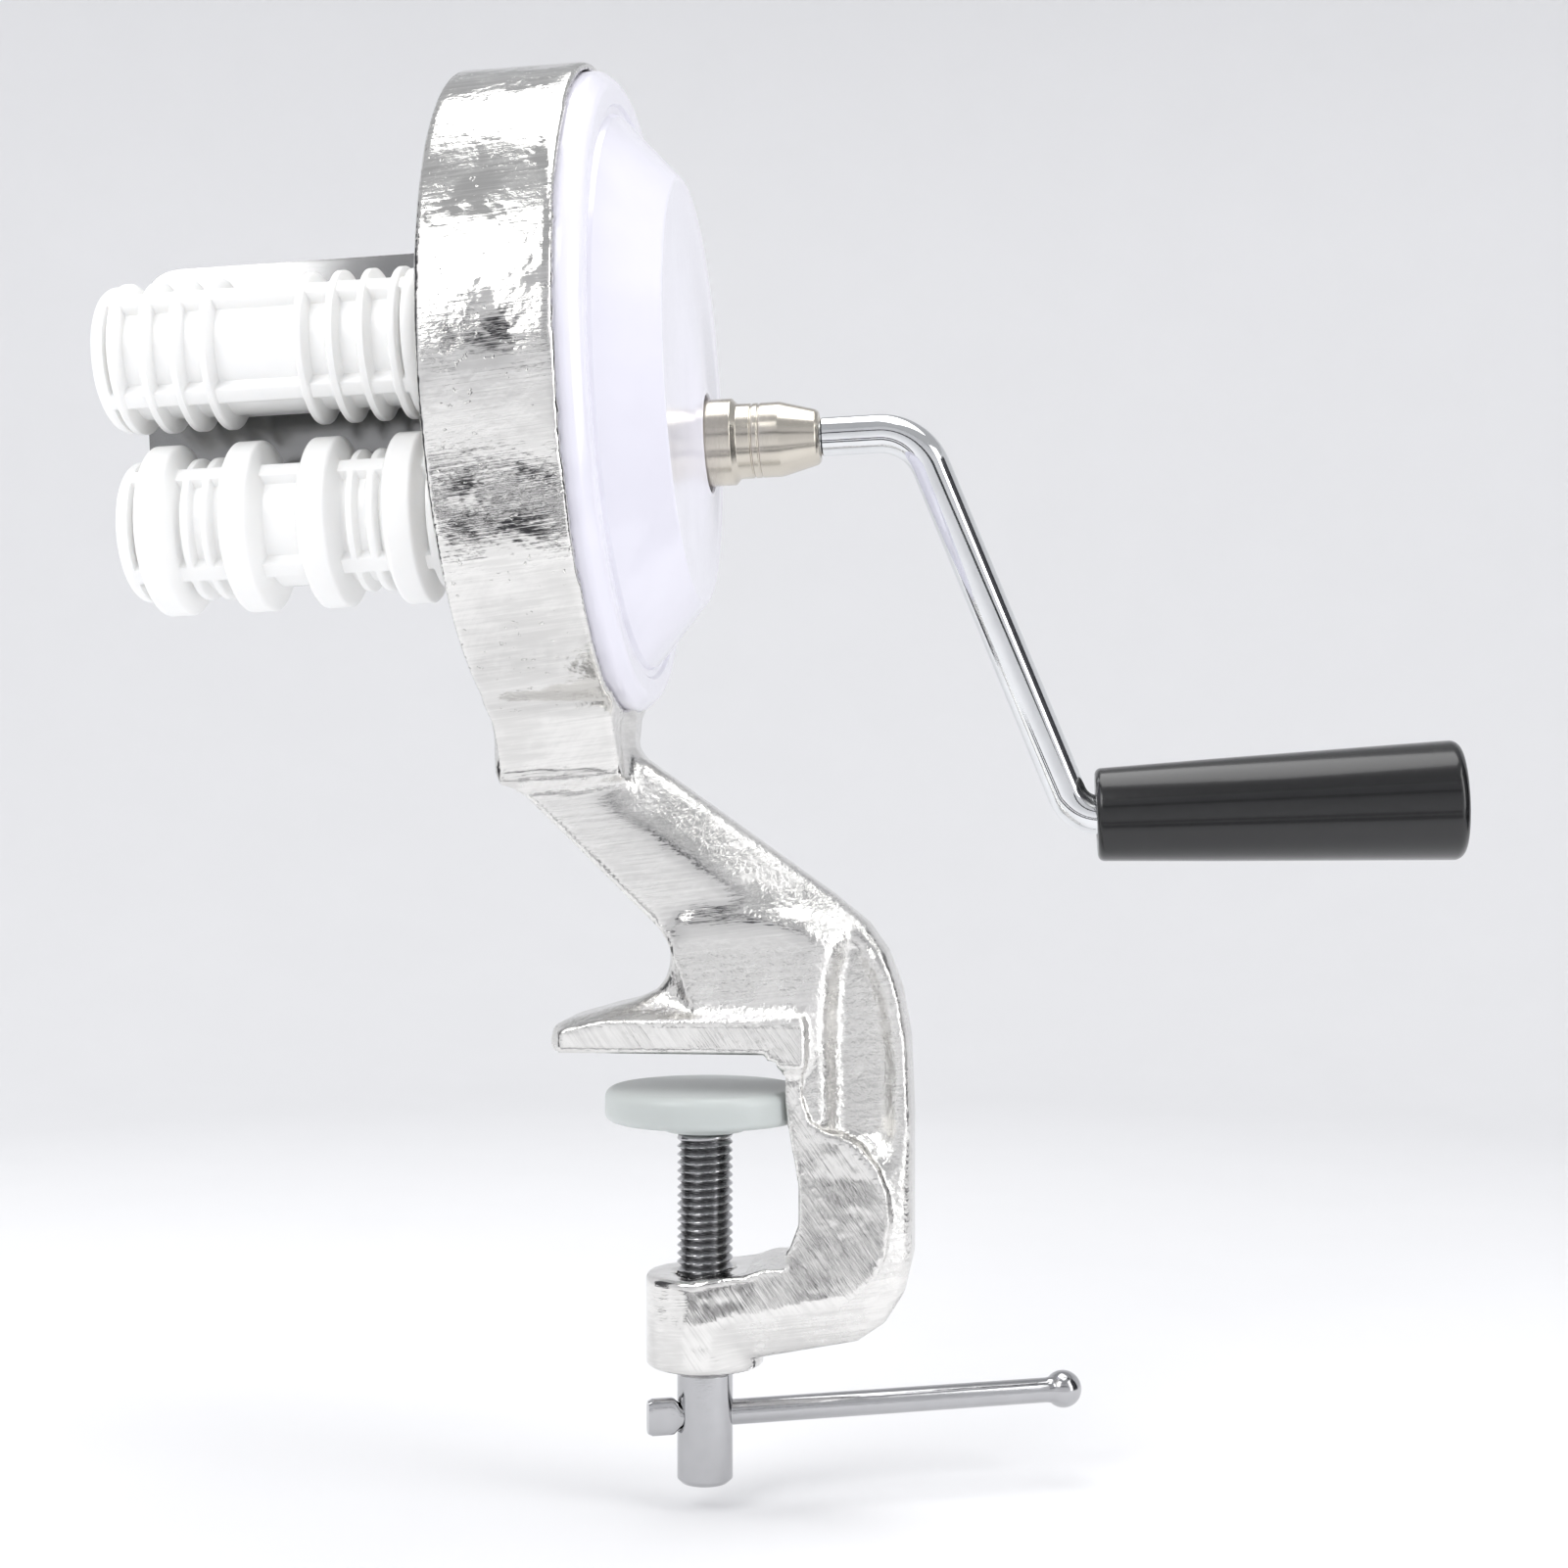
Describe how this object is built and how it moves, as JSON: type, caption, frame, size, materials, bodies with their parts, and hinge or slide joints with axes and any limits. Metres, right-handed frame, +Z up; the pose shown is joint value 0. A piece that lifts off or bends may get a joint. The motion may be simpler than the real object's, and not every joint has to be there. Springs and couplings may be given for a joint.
{
  "type": "hand-cranked twin-roller kitchen machine",
  "caption": "Table-clamp kitchen machine with a hand crank, a round gear case, a geared pair of ribbed nylon rollers, a sheet guard and a swept clamp arm.",
  "frame": {"origin": "centre of the clamp jaw's flat underside, on the clamp screw's axis", "axes": "+X towards the crank, +Y away from the rollers, +Z up along the clamp screw"},
  "size_m": [0.2804, 0.138, 0.2995],
  "materials": {
    "cast_aluminium": "polished over a pebbled cast skin, scratched",
    "cover_plastic": "glossy, pale lavender white",
    "stainless_sheet": "polished sheet",
    "small_steel": "plain bright",
    "bronze": "sintered, dull",
    "nickel_plate": "warm nickel with turning marks",
    "gear_plastic": "natural cream",
    "chrome_plate": "mirror bright",
    "black_plastic": "glossy black",
    "roller_plastic": "white, slightly translucent",
    "pad_plastic": "milky grey white",
    "screw_steel": "bright head, dark thread"
  },
  "bodies": {
    "frame": {"frame_casting": "cast_aluminium", "gear_cover": "cover_plastic", "guard_plate": "stainless_sheet", "guard_screw_1": "small_steel", "guard_screw_2": "small_steel", "drive_bush": "bronze", "upper_bush": "bronze", "lower_bush": "bronze"},
    "drive": {"drive_shaft": "nickel_plate", "drive_gear": "gear_plastic", "drive_key": "small_steel", "drive_clip": "small_steel", "drive_washer": "small_steel"},
    "crank": {"crank_rod": "chrome_plate", "grip_washer": "small_steel"},
    "grip": {"grip_sleeve": "black_plastic", "grip_cap": "black_plastic"},
    "upper": {"upper_roller": "roller_plastic", "upper_axle": "small_steel", "upper_pinion": "gear_plastic", "upper_clip": "small_steel", "upper_washer": "small_steel"},
    "lower": {"lower_roller": "roller_plastic", "lower_axle": "small_steel", "lower_pinion": "gear_plastic", "lower_clip": "small_steel", "lower_washer": "small_steel"},
    "pad": {"clamp_pad": "pad_plastic", "pad_clip": "small_steel"},
    "screw": {"clamp_screw": "screw_steel"},
    "bar": {"tommy_bar": "screw_steel"}
  },
  "joints": [
    {"name": "drive_spin", "type": "hinge", "parent": "frame", "child": "drive", "pos_m": [-0.0001, 0.01982, 0.13115], "axis": [0.9991, 0, 0.0431], "continuous": true},
    {"name": "crank_slide", "type": "slide", "parent": "drive", "child": "crank", "axis": [0.9991, 0, 0.0431], "range_m": [0, 0.06]},
    {"name": "grip_spin", "type": "hinge", "parent": "crank", "child": "grip", "pos_m": [0.12167, 0.01982, 0.05092], "axis": [0.9991, 0, 0.0431], "continuous": true},
    {"name": "upper_spin", "type": "hinge", "parent": "frame", "child": "upper", "pos_m": [-0.04578, -0.03, 0.14589], "axis": [0.9991, 0, 0.0431], "continuous": true},
    {"name": "lower_spin", "type": "hinge", "parent": "frame", "child": "lower", "pos_m": [-0.04424, -0.03, 0.11042], "axis": [0.9991, 0, 0.0431], "continuous": true},
    {"name": "pad_travel", "type": "slide", "parent": "frame", "child": "pad", "axis": [0, 0, 1], "range_m": [-0.026, 0.0064]},
    {"name": "screw_turn", "type": "hinge", "parent": "pad", "child": "screw", "pos_m": [0, 0, -0.04], "axis": [0, 0, 1], "range_deg": [-5340, 1312]},
    {"name": "bar_slide", "type": "slide", "parent": "screw", "child": "bar", "axis": [0.933, 0.36, 0], "range_m": [-0.068, 0]}
  ],
  "couplings": [
    {"joint": "lower_spin", "follows": "drive_spin", "ratio": -2},
    {"joint": "upper_spin", "follows": "drive_spin", "ratio": 2},
    {"joint": "pad_travel", "follows": "screw_turn", "m_per_rad": 0.00027852}
  ]
}
